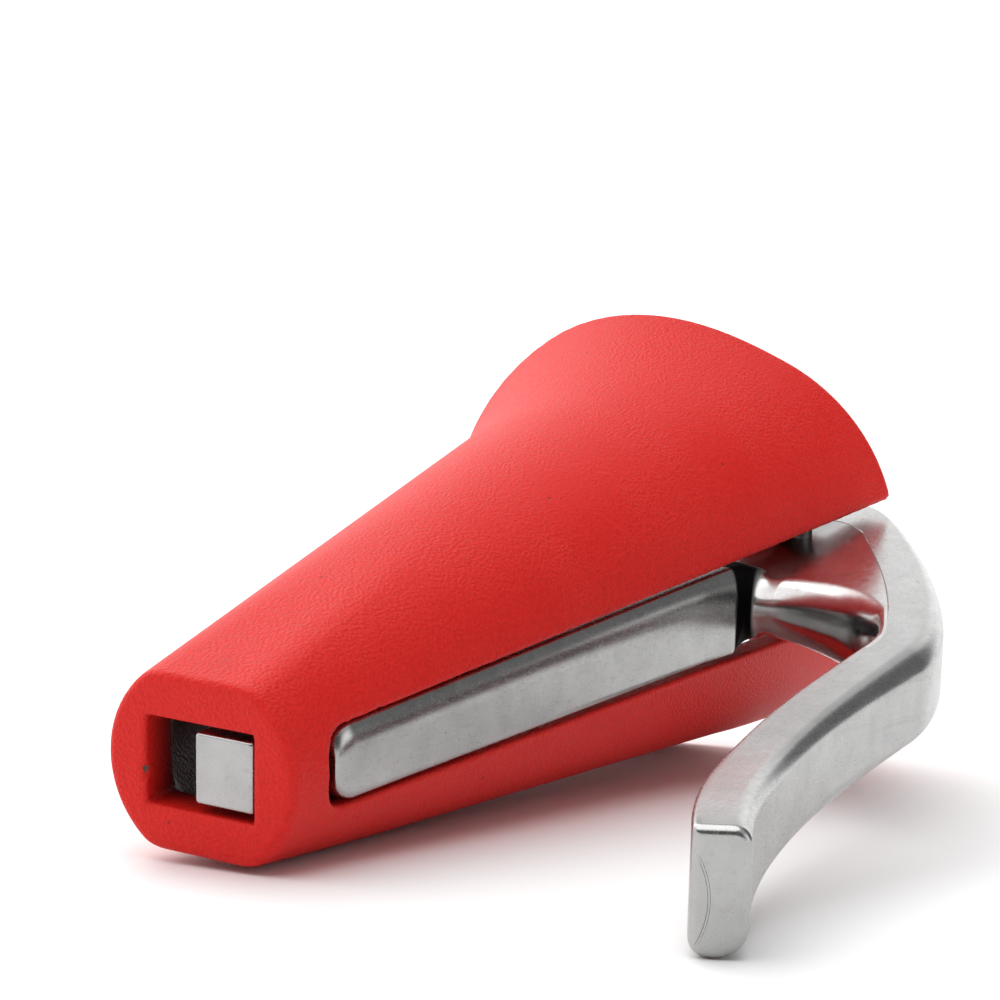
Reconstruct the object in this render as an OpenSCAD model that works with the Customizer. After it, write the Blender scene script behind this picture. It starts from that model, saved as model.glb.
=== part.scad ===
// Funnel nutcracker pliers: a cast funnel with a slot along one side, and one hairpin lever
// that turns on a pin near the mouth, so that its bar presses the nut against the far wall.
// Tool axes while modelling: +X from the narrow end to the mouth, -Y towards the slot, +Z up.
// The last step lays the tool down on its lower flat, its rim and the end of its handle.

/* [Part to draw] */
// Which piece to draw

/* [Funnel] */
// Radius of the cone where it meets the narrow end face
end_r = 11.15; // [9:0.05:14]
// Angle between the cone's side and its axis
cone_angle = 8.2; // [6:0.1:11]
// Length from the narrow end face to the middle of the rim
rim_len = 117.5; // [95:1:140]
// How much further the rim reaches on the slot's side, and less far opposite
rim_slant = 6.8; // [0:0.1:10]
// Thickness of the funnel's wall
wall = 3.8; // [3:0.1:5]
// Thickness of the wall that closes the narrow end
end_wall = 5; // [3.5:0.1:6]
// Rounding of the narrow end's outer edge
end_edge = 0.9; // [0.4:0.1:1.5]
// Fillet inside the narrow end, between its wall and the cone
end_fillet = 1.6; // [0.5:0.1:3]

/* [Flared lip] */
// How far the lip stands out beyond the cone, opposite the slot
lip_out = 5.2; // [0:0.1:8]
// Length along the axis over which the lip swells
lip_len = 32; // [20:1:75]
// Angle from the slot at which the lip begins
lip_from = 62; // [45:1:80]
// Angle from the slot at which the lip is full
lip_to = 125; // [100:1:150]

/* [Flats and window] */
// Distance from the axis to each flat, at the narrow end face
flat_half = 9.3; // [7.5:0.1:11]
// Slope of each flat to the axis, a little steeper than the cone so that it runs out
flat_angle = 11.3; // [9:0.1:14]
// Window in the narrow end, along the lever's travel
window_w = 12.7; // [10:0.1:15]
// Window in the narrow end, across the lever's travel
window_h = 9.2; // [7:0.1:11]

/* [Slot] */
// Distance from the narrow end face to the closed end of the slot
slot_start = 5.9; // [4.5:0.1:9]
// Corner radius at the closed end
slot_corner = 1.8; // [0.5:0.1:3]
// Rounding of the slot's two corners at the rim
slot_mouth = 2.5; // [1:0.1:4]

/* [Pivot] */
// Diameter of the pivot pin
pin_d = 4; // [3:0.1:5]
// Distance from the middle of the rim back to the pin
pin_back = 11.9; // [9:0.1:18]
// Depth of the pin's axis below the cone's surface in the middle of the slot
pin_deep = 5.2; // [4:0.1:6.5]
// Radius of the bosses inside the funnel that carry the pin
boss_r = 5.6; // [4:0.1:7]
// Radial clearance of the pin's ends in their seats
pin_clear = 0.05; // [0.01:0.01:0.1]
// Cover of metal left between each end of the pin and the funnel's surface
pin_cover = 2.6; // [1.5:0.1:4]
// Gap between each end of the pin and the bottom of its blind seat
pin_end_gap = 0.25; // [0.1:0.05:0.5]
// How much narrower than the pin the mouth of each seat is, so that the pin snaps in
pin_snap = 0.2; // [0:0.05:0.4]

/* [Lever bar] */
// Thickness of the tip in the window
tip_t = 7; // [5:0.1:8]
// Gap between the tip and the window's wall on the slot's side
tip_gap = 0.15; // [0.1:0.05:0.5]
// Gap between the tip and the window above and below
tip_side = 0.85; // [0.4:0.05:1.5]
// Depth of the tip's end below the narrow end face
tip_sunk = 0.3; // [0:0.1:1]
// Bevel round the tip's end
tip_bevel = 0.4; // [0.2:0.1:1]
// Gap between the closed end of the slot and the bar's shoulder
shoulder_gap = 2; // [0.6:0.1:3]
// Width of the bar at its shoulder; the slot follows it
bar_w = 7.5; // [6:0.1:9]
// Width of the bar at the nose
bar_end_w = 10.3; // [8:0.1:12]
// Gap between the bar and the slot's sides, at the shoulder
bar_gap = 0.45; // [0.3:0.05:1]
// Gap between the bend and the slot's sides, at the nose
bend_gap = 0.7; // [0.3:0.05:1]
// Depth of the bar's outer face below the cone
bar_sunk = 0.7; // [0.2:0.1:1.5]
// Thickness of the bar at the pin
bar_t = 9.3; // [8:0.1:12]
// Rounding of the bar's outer edges and of its shoulder
bar_round = 2.1; // [1:0.1:2.6]
// Rounding of the bar's inner edges
bar_edge = 0.9; // [0.4:0.1:1.5]

/* [Lever bend and handle] */
// Width of the bend and the handle
lever_w = 10.9; // [8:0.1:12]
// Distance from the middle of the rim back to the nose inside the bend
nose_back = 33.3; // [28:0.1:42]
// Radius of the corner between the bar and the nose
nose_fillet = 1.8; // [1:0.1:3]
// Radius of the bull nose
nose_round = 4.2; // [2:0.1:5]
// Draft of the nose's upper and lower sides, which ends in a crisp edge
web_draft = 4; // [1:0.5:6]
// How far the bend reaches past the rim
bend_over = 1.9; // [0:0.1:8]
// Distance from the axis to the outer side of the handle, where it leaves the bend
handle_out = 54; // [46:0.1:60]
// Thickness of the bend and of the handle's beginning
handle_t = 6.85; // [5:0.05:8]
// Thickness of the handle's end
handle_end_t = 5.4; // [4:0.1:7]
// Distance from the narrow end face to where the handle leaves the bend
handle_from = 60.3; // [50:0.1:75]
// How far the handle reaches back beyond the narrow end face
handle_past = 4.6; // [0:0.1:15]
// How far the handle's end turns outwards
handle_turn = 7; // [3:0.1:14]
// Rounding of the outer edges at the back of the bend
back_round = 2.1; // [0.6:0.1:2.4]
// Rounding of the outer edges at the handle's end
handle_edge = 1.1; // [0.6:0.1:2.2]
// Rounding of the handle's inner edges
inner_edge = 0.5; // [0.3:0.1:1]
// Bevel round the handle's end
handle_bevel = 0.9; // [0.3:0.1:1.5]

/* [Hidden] */
RED = [0.80, 0.09, 0.07];
STEEL = [0.72, 0.72, 0.71];
// facets round the funnel, and past the surfaces that a cut goes through
around = 96;
over = 10;
slope = tan(cone_angle);
slot_len = rim_len + rim_slant;

function smooth(x) = let (c = min(max(x, 0), 1)) c * c * (3 - 2 * c);
function mix(a, b, t) = a + (b - a) * t;
function bez(p, t) = let (s = 1 - t)
    s * s * s * p[0] + 3 * s * s * t * p[1] + 3 * s * t * t * p[2] + t * t * t * p[3];
function unit(v) = v / norm(v);
// a point of the lever's plane, [along the axis, outwards to the slot], at a height across it
function tool(p, w) = [p[0], -p[1], w];

// the funnel: radius round the axis, the angle counted from the slot's side
function cone_r(a) = end_r + slope * a;
function rim_at(phi) = rim_len + rim_slant * cos(phi);
function lip_share(phi) = smooth((acos(cos(phi)) - lip_from) / (lip_to - lip_from));
function lip_at(phi, a) = lip_out * lip_share(phi)
    * pow(max(0, (a - rim_at(phi) + lip_len) / lip_len), 2);
function outer_r(phi, a) = cone_r(a) + lip_at(phi, a);
function flat_at(a) = flat_half + tan(flat_angle) * a;

// one profile of the shell at an angle: end edge, outer side, rim, inner side, inner fillet
edge_steps = [0, 30, 60, 90];
outer_shares = [0.1, 0.25, 0.4, 0.5, 0.57, 0.63, 0.69, 0.75, 0.8, 0.85, 0.9, 0.94, 0.97];
rim_steps = [0, 25, 50, 75, 105, 130, 155, 180];
inner_shares = [0.95, 0.9, 0.84, 0.77, 0.69, 0.6, 0.5];
function shell_profile(phi) = let (top = rim_at(phi) - wall / 2, mid = outer_r(phi, top) - wall / 2)
    concat(
        [for (s = edge_steps) let (a = end_edge * (1 - cos(s)))
            [a, cone_r(a) - end_edge * (1 - sin(s))]],
        [for (t = outer_shares) [t * top, outer_r(phi, t * top)]],
        [for (s = rim_steps) [top + wall / 2 * sin(s), mid + wall / 2 * cos(s)]],
        [for (t = inner_shares) [t * top, outer_r(phi, t * top) - wall]],
        [for (s = edge_steps) let (a = end_wall + end_fillet)
            [a - end_fillet * sin(s), cone_r(a) - wall - end_fillet * (1 - cos(s))]]
    );

// skins a stack of closed rings that all have the same number of points
module loft(rings) {
    n = len(rings[0]);
    m = len(rings);
    points = [for (ring = rings, p = ring) p];
    sides = [for (j = [0 : m - 2], i = [0 : n - 1]) let (k = (i + 1) % n)
        each [[j * n + i, (j + 1) * n + i, j * n + k], [j * n + k, (j + 1) * n + i, (j + 1) * n + k]]];
    first = [for (i = [0 : n - 1]) i];
    last = [for (i = [n - 1 : -1 : 0]) (m - 1) * n + i];
    polyhedron(points, concat(sides, [first, last]));
}

module funnel_shell() {
    rows = len(shell_profile(0));
    profiles = [for (i = [0 : around - 1]) shell_profile(i * 360 / around)];
    loft([for (j = [0 : rows - 1]) [for (i = [0 : around - 1])
        let (phi = i * 360 / around, q = profiles[i][j])
        [q[0], -q[1] * cos(phi), -q[1] * sin(phi)]]]);
}

// half the slot's width at a place along the axis: the lever's own taper and its gaps
shoulder = slot_start + shoulder_gap;
nose_a = rim_len - nose_back;
function taper(a) = (a - shoulder) / (nose_a - shoulder);
function slot_half(a) = mix(bar_w / 2 + bar_gap, lever_w / 2 + bend_gap, taper(a));

// the slot, seen from its own side: round inner corners, flanks that widen to the rim and flare there
near = slot_start + slot_corner;
far = slot_len + over;
mouth_half = slot_half(slot_len - slot_mouth);
flank = concat([[near, slot_half(near)]],
    [for (s = [0 : 15 : 90])
        [slot_len - slot_mouth * (1 - sin(s)), mouth_half + slot_mouth * (1 - cos(s))]],
    [[far, mouth_half + slot_mouth]]);
module slot_cut() {
    rotate([90, 0, 0]) linear_extrude(cone_r(far)) {
        polygon(concat(flank, [for (k = [len(flank) - 1 : -1 : 0]) [flank[k][0], -flank[k][1]]]));
        for (side = [-1, 1]) translate([near, side * (slot_half(near) - slot_corner)])
            circle(r = slot_corner);
        translate([slot_start, -slot_half(near) + slot_corner])
            square([2 * slot_corner, 2 * (slot_half(near) - slot_corner)]);
    }
}

module flat_cut(side) {
    rotate([side > 0 ? 0 : 180, 0, 0]) translate([0, 0, flat_half]) rotate([0, -flat_angle, 0])
        translate([-over, -2 * end_r, 0]) cube([rim_len, 4 * end_r, end_r]);
}

// the pivot: its axis lies across the slot, inside the thickness of both cheeks
pin_a = rim_len - pin_back;
pin_u = cone_r(pin_a) - pin_deep;
pin_r = pin_d / 2;
cheek = sqrt(pow(cone_r(pin_a), 2) - pow(pin_u + pin_r, 2));
pin_top = cheek - pin_cover;
seat_top = pin_top + pin_end_gap;

// the bosses: a barrel round the pin that fills the shell out on both sides of the slot
boss_skin = 1;
rim_r = cone_r(rim_len);
module bosses() {
    intersection() {
        pin_place() cylinder(r = boss_r, h = 2 * rim_r, center = true, $fn = 64);
        rotate([0, 90, 0]) cylinder(r1 = end_r - boss_skin, r2 = rim_r - boss_skin, h = rim_len, $fn = 128);
        translate([0, -rim_r, -rim_r]) cube([rim_len, rim_r, 2 * rim_r]);
    }
}

module pin_place() { translate([pin_a, -pin_u, 0]) children(); }

// blind seats for the pin's ends, entered from inside the funnel; squeezing holds the pin in them
module pin_seats() {
    mouth = pin_d - pin_snap;
    pin_place() {
        cylinder(r = pin_r + pin_clear, h = 2 * seat_top, center = true, $fn = 64);
        translate([-mouth / 2, 0, -seat_top]) cube([mouth, 2 * boss_r, 2 * seat_top]);
    }
}

module funnel_body() {
    color(RED) lay_down() difference() {
        union() {
            funnel_shell();
            bosses();
        }
        translate([-over, -window_w / 2, -window_h / 2]) cube([2 * over, window_w, window_h]);
        slot_cut();
        for (side = [-1, 1]) flat_cut(side);
        pin_seats();
    }
}

module pivot_pin() {
    bevel = pin_d / 12;
    color(STEEL) lay_down() pin_place() rotate_extrude($fn = 64)
        polygon([[0, -pin_top], [pin_r - bevel, -pin_top], [pin_r, -pin_top + bevel],
            [pin_r, pin_top - bevel], [pin_r - bevel, pin_top], [0, pin_top]]);
}

// the bar: outer face in the slot, inner face towards the nut
tip_top = window_w / 2 - tip_gap;
tip_half = window_h / 2 - tip_side;
function bar_face(a) = cone_r(a) - bar_sunk;
function jaw(a) = mix(tip_top - tip_t, bar_face(pin_a) - bar_t, a / pin_a);
function bar_half(a) = mix(bar_w, bar_end_w, min(1, taper(a))) / 2;

// a rib is a closed section from its inner point to its outer point: half width, depth of the drafted
// inner side, half of the inner flat, inner rounding, outer rounding
inner_steps = 10;
outer_steps = 5;
least = 0.25;
shoulder_share = 0.85;
function rib(from, to, half, depth, flat, bull, edge) = let (
    way = unit(to - from), span = norm(to - from),
    r = min(bull, depth - least),
    side = half - (depth - r) * tan(web_draft),
    top = concat(
        [for (k = [0 : inner_steps]) let (s = (90 - web_draft) * k / inner_steps)
            [r * (1 - cos(s)), mix(flat, side, sin(s))]],
        [[depth, half]],
        [for (k = [0 : outer_steps]) let (s = 90 * k / outer_steps)
            [span - edge + edge * sin(s), half - edge + edge * cos(s)]]))
    concat(
        [for (q = top) tool(from + way * q[0], -q[1])],
        [for (k = [len(top) - 1 : -1 : 0]) tool(from + way * top[k][0], top[k][1])]);

function bar_rib(a, inset) = let (half = bar_half(a) - inset, bull = max(least, bar_round - inset))
    rib([a, bar_face(a) - inset], [a, jaw(a) + inset], half, bull + least, half - bull, bull, bar_edge);

bar_ribs = concat(
    [for (s = [0, 22, 45, 68, 90])
        bar_rib(shoulder + bar_round * (1 - cos(s)), bar_round * (1 - sin(s)) * shoulder_share)],
    [for (t = [0.4, 0.8]) bar_rib(mix(shoulder, nose_a, t), 0)]);

// the bend: its outer side follows the bar's inner face, turns at the mouth and leaves outwards;
// its inner side is the small corner, then the nose
bend_a = slot_len + bend_over;
half_w = lever_w / 2;
corner = [nose_a - nose_fillet, bar_face(nose_a) + nose_fillet];
// where the turn begins and ends, counted back from the bend's reach, and how it leaves
turn_in = 9;
turn_out = 5.6;
turn_rise = 0.7;
turn_from = [bend_a - turn_in, jaw(bend_a - turn_in)];
turn_to = [bend_a - turn_out, bar_face(bend_a) + turn_rise];
leave = unit([-1.4, 1]);
// where the handle begins, and its direction there
grip_from = [handle_from, handle_out];
grip_run = 18.3;
grip_dip = 0.5;
// how far each curve follows its end's direction
turn_pull = 11;
back_pull = 10;
grip_pull = 17.7;
nose_rise = 2.2;
nose_pull = 8;
web_pull = 14;
turn = [turn_from, turn_from + turn_in * unit([1, jaw(1) - jaw(0)]), turn_to - turn_pull * leave, turn_to];
back = [turn_to, turn_to + back_pull * leave, grip_from + grip_pull * unit([grip_run, grip_dip]), grip_from];
nose_top = corner + [nose_fillet, nose_rise];
inner_u = handle_out - handle_t;
nose = [nose_top, nose_top + [0, nose_pull], [handle_from + web_pull, inner_u], [handle_from, inner_u]];

// the shares of the nose at which the corner and the turn end, the bull nose is full and begins to fade
corner_share = 0.3;
turn_share = 0.55;
grow_share = 0.2;
fade_share = 0.7;
// how far past that share the outer edges take to sharpen towards the handle's end
edge_run = 0.9;
function grow(t) = smooth(t / grow_share);
function fade(t) = smooth((t - fade_share) / (1 - fade_share));
function bull_at(t) = t < fade_share ? mix(bar_round, nose_round, grow(t))
    : mix(nose_round, inner_edge, fade(t));
function flat_share(half, t) =
    t < fade_share ? mix(half - bar_round, least, grow(t)) : mix(least, half - inner_edge, fade(t));
function outer_edge(t) = t < fade_share
    ? mix(bar_edge, back_round, smooth((t - corner_share) / (fade_share - corner_share)))
    : mix(back_round, handle_edge, smooth((t - fade_share) / edge_run));
function nose_rib(from, to, depth, t) = let (half = mix(bar_end_w / 2, half_w, smooth(t / corner_share)))
    rib(from, to, half, depth, flat_share(half, t), bull_at(t), outer_edge(t));

// the nose's sides end where the bend's own thickness begins
web_ease = 0.5;
function back_way(s) = unit(bez(back, min(s + 0.01, 1)) - bez(back, max(s - 0.01, 0)));
function web_span(s) = bez(back, s) - bez(nose, s);
function web_depth(s) = let (way = unit(web_span(s)), along = back_way(s), edge = inner_edge + least,
        bare = norm(web_span(s)) - handle_t / (way * [along[1], -along[0]]) - edge)
    edge + (bare + sqrt(bare * bare + 4 * web_ease * web_ease)) / 2;
web_share = web_depth(0) / norm(web_span(0));
function corner_rib(from, to, t) =
    nose_rib(from, to, mix(bar_round + least, web_share * norm(to - from), grow(t)), t);

// the corner's first lead and last angle
corner_lead = 1.2;
corner_stop = -12;
function corner_point(angle) = corner + nose_fillet * [cos(angle), sin(angle)];
corner_ribs = [for (k = [0 : 9]) let (s = k / 9, a = mix(nose_a - corner_lead, turn_from[0], s))
    corner_rib(corner_point(mix(-90, corner_stop, pow(s, 0.7))), [a, jaw(a)], corner_share * s)];
turn_ribs = [for (k = [1 : 8]) let (s = k / 8, from = corner_point(mix(corner_stop, 0, min(1, 2 * s))))
    corner_rib(mix(from, nose_top, s * s), bez(turn, s), mix(corner_share, turn_share, s))];
back_ribs = [for (k = [1 : 18]) let (s = k / 18)
    nose_rib(bez(nose, s), bez(back, s), web_depth(s), mix(turn_share, 1, s))];

// the handle: runs back beside the funnel, thins and turns outwards at its end
end_run = 10;
end_dip = 1.95;
grip = [grip_from, grip_from - [grip_run, grip_dip],
    [handle_past + end_run, handle_out - end_dip], [-handle_past, handle_out + handle_turn]];
function grip_way(t) = unit(bez(grip, min(t + 0.01, 1)) - bez(grip, max(t - 0.01, 0)));
function grip_rib(t, shift, inset) = let (way = grip_way(t), out = bez(grip, t) + way * shift,
        inwards = [-way[1], way[0]], half = half_w - inset)
    rib(out + inwards * (mix(handle_t, handle_end_t, t) - inset), out + inwards * inset, half,
        inner_edge + least, half - inner_edge, inner_edge, outer_edge(1 + t) - inset / 2);
grip_ribs = concat(
    [for (k = [1 : 14]) grip_rib(k / 15, 0, 0)],
    [for (s = [0 : 30 : 90]) grip_rib(1, -handle_bevel * (1 - sin(s)), handle_bevel * (1 - cos(s)))]);

// the tip: passes under the bridge of metal between the slot and the narrow end
function tip_ring(a, inset) = [for (c = [[-1, 1], [1, 1], [1, -1], [-1, -1]])
    tool([a, c[0] > 0 ? tip_top - inset : jaw(a) + inset], c[1] * (tip_half - inset))];
tip_root = shoulder + tip_t;

module lever() {
    color(STEEL) lay_down() difference() {
        union() {
            loft(concat(bar_ribs, corner_ribs, turn_ribs, back_ribs, grip_ribs));
            loft([tip_ring(tip_sunk, tip_bevel), tip_ring(tip_sunk + tip_bevel, 0), tip_ring(tip_root, 0)]);
        }
        pin_place() cylinder(r = pin_r, h = 2 * lever_w, center = true, $fn = 64);
    }
}

// lying down: pitch and roll that let the lower flat, the rim and the handle's end touch the table
function sink(p, rest) = let (z = p[1] * sin(rest[1]) + p[2] * cos(rest[1]))
    -p[0] * sin(rest[0]) + z * cos(rest[0]);
function low(points, rest) = min([for (p = points) sink(p, rest)]);
function under(phi, a) = let (r = outer_r(phi, a)) [a, -r * cos(phi), max(r * sin(phi), -flat_at(a))];
near_points = [for (phi = [-130 : 4 : -50], a = [0 : 3 : rim_len / 2]) under(phi, a)];
rim_points = [for (phi = [-140 : 2 : -40]) let (a = rim_at(phi) - wall / 2) under(phi, a)];
end_points = grip_rib(1, -handle_bevel, 0);
function settle(rest, n) = n == 0 ? rest : let (
    z = low(near_points, rest), dr = low(rim_points, rest) - z, dh = low(end_points, rest) - z)
    settle([rest[0] + dr / rim_len * 60, rest[1] + dh / handle_out * 50], n - 1);
rest = settle([-flat_angle, 2], 25);
seat_a = 22;
seat = [seat_a, 0, -flat_at(seat_a)];

module lay_down() { rotate([rest[1], rest[0], 0]) translate(-seat) children(); }

funnel_body();
lever();
pivot_pin();
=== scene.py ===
"""Looks of the funnel nutcracker pliers.

A cast funnel with a red powder coat, a hairpin lever of ground and polished steel, and its pivot pin.
Shapes are made in millimetres on the tool's own axes, +X from the narrow end to the mouth, -Y towards
the slot and +Z up, and are then laid down on the table as the CAD model is.
"""
import math
from collections import namedtuple

import bmesh
import bpy
import numpy as np
from mathutils import Matrix, Vector


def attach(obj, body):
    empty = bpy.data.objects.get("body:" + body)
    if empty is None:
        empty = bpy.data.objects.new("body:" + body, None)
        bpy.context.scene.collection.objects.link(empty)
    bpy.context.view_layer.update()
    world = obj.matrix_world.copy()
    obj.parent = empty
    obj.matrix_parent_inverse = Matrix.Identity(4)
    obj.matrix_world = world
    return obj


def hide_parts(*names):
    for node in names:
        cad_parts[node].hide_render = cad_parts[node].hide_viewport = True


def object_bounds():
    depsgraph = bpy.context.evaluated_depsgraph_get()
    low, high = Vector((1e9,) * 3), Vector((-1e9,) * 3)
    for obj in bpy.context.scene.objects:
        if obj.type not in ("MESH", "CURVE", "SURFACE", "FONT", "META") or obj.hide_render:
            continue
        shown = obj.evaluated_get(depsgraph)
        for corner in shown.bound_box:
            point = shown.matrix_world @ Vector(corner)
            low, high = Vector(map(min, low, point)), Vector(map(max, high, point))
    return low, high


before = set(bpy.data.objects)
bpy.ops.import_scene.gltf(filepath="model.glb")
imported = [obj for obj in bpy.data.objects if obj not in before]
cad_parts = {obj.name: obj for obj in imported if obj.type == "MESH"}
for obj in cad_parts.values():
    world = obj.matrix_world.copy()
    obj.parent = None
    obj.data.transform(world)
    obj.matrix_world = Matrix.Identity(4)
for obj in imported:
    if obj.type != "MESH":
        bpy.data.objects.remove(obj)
cad_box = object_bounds()

# sizes of the tool in millimetres and degrees, as in the CAD model
END_R, CONE_ANGLE, RIM_LEN, RIM_SLANT = 11.15, 8.2, 117.5, 6.8
WALL, END_WALL, END_EDGE, END_FILLET = 3.8, 5.0, 0.9, 1.6
LIP_OUT, LIP_LEN, LIP_FROM, LIP_TO = 5.2, 32.0, 62.0, 125.0
FLAT_HALF, FLAT_ANGLE, WINDOW_W, WINDOW_H = 9.3, 11.3, 12.7, 9.2
SLOT_START, SLOT_MOUTH = 5.9, 2.5
PIN_D, PIN_BACK, PIN_DEEP, BOSS_R, BOSS_SKIN = 4.0, 11.9, 5.2, 5.6, 1.0
PIN_CLEAR, PIN_COVER, PIN_END_GAP, PIN_SNAP = 0.05, 2.6, 0.25, 0.2
TIP_T, TIP_GAP, TIP_SIDE, TIP_SUNK, TIP_BEVEL, TIP_EDGE = 7.0, 0.15, 0.85, 0.3, 0.4, 0.35
SHOULDER_GAP, BAR_W, BAR_GAP, BEND_GAP = 2.0, 7.5, 0.45, 0.7
BAR_SUNK, BAR_T, BAR_EDGE = 0.7, 9.3, 0.9
LEVER_W, NOSE_BACK, NOSE_FILLET, NOSE_ROUND, WEB_DRAFT = 10.9, 33.3, 1.8, 4.2, 4.0
BEND_OVER, HANDLE_OUT, HANDLE_T, HANDLE_END_T = 1.9, 54.0, 6.85, 5.4
HANDLE_FROM, HANDLE_PAST, HANDLE_TURN = 60.3, 4.6, 7.0
INNER_EDGE, HANDLE_BEVEL = 0.5, 0.9
TURN_IN, TURN_OUT, TURN_RISE, LEAVE_RUN = 9.0, 5.6, 0.7, 1.4
GRIP_RUN, GRIP_DIP, END_RUN, END_DIP = 18.3, 0.5, 10.0, 1.95
TURN_PULL, BACK_PULL, GRIP_PULL, NOSE_RISE, NOSE_PULL, WEB_PULL = 11.0, 10.0, 17.7, 2.2, 8.0, 14.0
CORNER_SHARE, TURN_SHARE, GROW_SHARE, FADE_SHARE, EDGE_RUN = 0.3, 0.55, 0.2, 0.7, 0.9
CORNER_STOP, CORNER_LEAD, LEAST, SHOULDER_SHARE, WEB_EASE = -12.0, 1.2, 0.25, 0.85, 0.5
PITCH, ROLL, SEAT_A = -9.6497, 3.96135, 22.0
MM = 0.001
PAST = 10.0
# step along a curve when its direction is taken
CURVE_STEP = 0.01

# fineness of the shown surfaces, and the casting's softened edges under its coat
CAST_CELL, CAST_MARGIN, CAST_EVENING, CAST_PULL = 0.45, 2.0, 4, 0.6
SKIN_STEP, SKIN_PASSES, LEAST_SLOPE = 0.02, 2, 0.25
# how far the shown casting, the handle's end and the bend stay inside the CAD model's outline
CAST_TRIM, HANDLE_TRIM, BEND_TRIM = 0.05, 0.4, 0.06
SLOT_SOFT, WINDOW_SOFT, FLAT_SOFT, SEAT_SOFT, BOSS_FILLET = 0.65, 0.4, 0.8, 0.25, 1.0
ROUND = 64
# ribs of the lever along its corner, turn, back and grip, and how fast the corner turns
CORNER_RIBS, TURN_RIBS, BACK_RIBS, GRIP_RIBS, CORNER_HURRY = 32, 28, 60, 40, 0.7
INNER_STEPS, OUTER_STEPS = 24, 8
# marks of making: the chip beside the window, the nick at the slot's upper edge, the fine groove along the nose's
# crisp edge, the crescent on the handle's end and the scratch across the bend
CHIP = (0.1, 6.4, -1.2)
CHIP_R, CHIP_LONG = 0.36, 2.6
NICK = (14.4, -12.5, 4.75)
NICK_R, NICK_LONG = 0.4, 2.2
BURR_WIDE, BURR_DEEP = 0.15, 0.14
MARK_BULGE, MARK_BOW, MARK_TURN, MARK_R, MARK_SUNK = 1.75, 8.6, 32, 0.15, 0.05
SCRATCH = ((90.6, 40.3), (90.4, 41.3), (90.4, 42.1), (89.6, 43.0), (88.6, 43.8))
SCRATCH_R, SCRATCH_LIFT = 0.07, 0.02
# the bar's face as ground: crowned above, nearly square below; and the handle's rounder edges, above and below
CROWN_DEEP, CROWN_SHARE, FOOT_DEEP, FOOT_RUN, FACE_DROP = 1.25, 0.75, 0.7, 1.0, 0.3
BAR_FULL, BAR_END_FULL = 7.9, 10.9
BACK_EDGE, GRIP_EDGE, END_EDGE_IN = (3.0, 2.1), (1.7, 3.0), (0.5, 1.9)
END_FROM, END_FLARE, BAR_TIP_ROUND, SLOT_END = 0.55, 1.5, 2.7, 2.9
# painted shade in the corner between bar and nose: half its spread as a slope, where it has cleared, where it
# starts and is full, and its reach
CORNER_DARK, CORNER_CLEAR, CORNER_FROM, CORNER_FULL, CORNER_REACH = 0.55, 0.95, 0.5, 1.0, 5.5
# where shade is painted darker in the hollow: it starts behind the window and fades out again towards the mouth
HOLLOW_SHADE_START, HOLLOW_SHADE_FULL, HOLLOW_SHADE_HOLD, HOLLOW_SHADE_END = 1.0, 5.0, 14.0, 50.0
# how deep in the wall the painted shade is full, and where it ends, as shares of the wall
HOLLOW_SHADE_WALL, HOLLOW_SHADE_WALL_END = 0.8, 0.4
# colours of the coat, from its hollows to its grains, of the painted shade deep in the funnel's hollow, and of
# what shows beside it
COAT_DEEP, COAT_BRIGHT, COAT_BLOTCH = (0.545, 0.0085, 0.006, 1), (0.69, 0.0155, 0.0105, 1), (0.73, 0.022, 0.015, 1)
COAT_SPECK, COAT_HOLLOW_SHADE, BARE_METAL = (0.12, 0.004, 0.004, 1), (0.05, 0.004, 0.003, 1), (0.075, 0.06, 0.05, 1)
CHIP_FULL, CHIP_END, CHIP_RAGGED = 0.0007, 0.0009, 0.0006
# tones of the steel's scratches and of the painted shade in the corner between bar and nose
SCRATCH_TONE, CORNER_SHADE_TONE = (0.3, 0.29, 0.28, 1), (0.006, 0.0055, 0.0055, 1)
# middle range of a noise, wide and narrow
WIDE, NARROW = (0.3, 0.7), (0.35, 0.65)
# specks in a cell: the size of the full part, where it ends, and the share of cells that have none
SPECK_FULL, SPECK_END, SPECK_RARE = 0.07, 0.16, 0.97
# angle in degrees from which an edge of the steel is drawn sharp, and the table's radius in metres
SHARP, TABLE_R = 32, 6.0


def smooth(x):
    c = min(max(x, 0.0), 1.0)
    return c * c * (3 - 2 * c)


def mix(a, b, t):
    return a + (b - a) * t


def cosd(x):
    return math.cos(math.radians(x))


def sind(x):
    return math.sin(math.radians(x))


def tand(x):
    return math.tan(math.radians(x))


def bezier(p, t):
    s = 1 - t
    return s ** 3 * p[0] + 3 * s * s * t * p[1] + 3 * s * t * t * p[2] + t ** 3 * p[3]


def plane(a, u):
    """A point of the lever's plane: along the axis, and outwards to the slot."""
    return Vector((a, u))


def tool(p, w):
    """A point of the lever's plane, at a height across it, on the tool's axes."""
    return Vector((p[0], -p[1], w))


def lay_down():
    """From the tool's axes in millimetres to the table's frame in metres."""
    seat = Vector((SEAT_A, 0, -(FLAT_HALF + tand(FLAT_ANGLE) * SEAT_A)))
    turn = Matrix.Rotation(math.radians(PITCH), 4, "Y") @ Matrix.Rotation(math.radians(ROLL), 4, "X")
    return Matrix.Scale(MM, 4) @ turn @ Matrix.Translation(-seat)


# meshes

def shown(name, mesh):
    piece = bpy.data.objects.new(name, mesh)
    bpy.context.scene.collection.objects.link(piece)
    return piece


def mesh_of(name, bm):
    bmesh.ops.recalc_face_normals(bm, faces=bm.faces)
    mesh = bpy.data.meshes.new(name)
    bm.to_mesh(mesh)
    bm.free()
    return mesh


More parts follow.
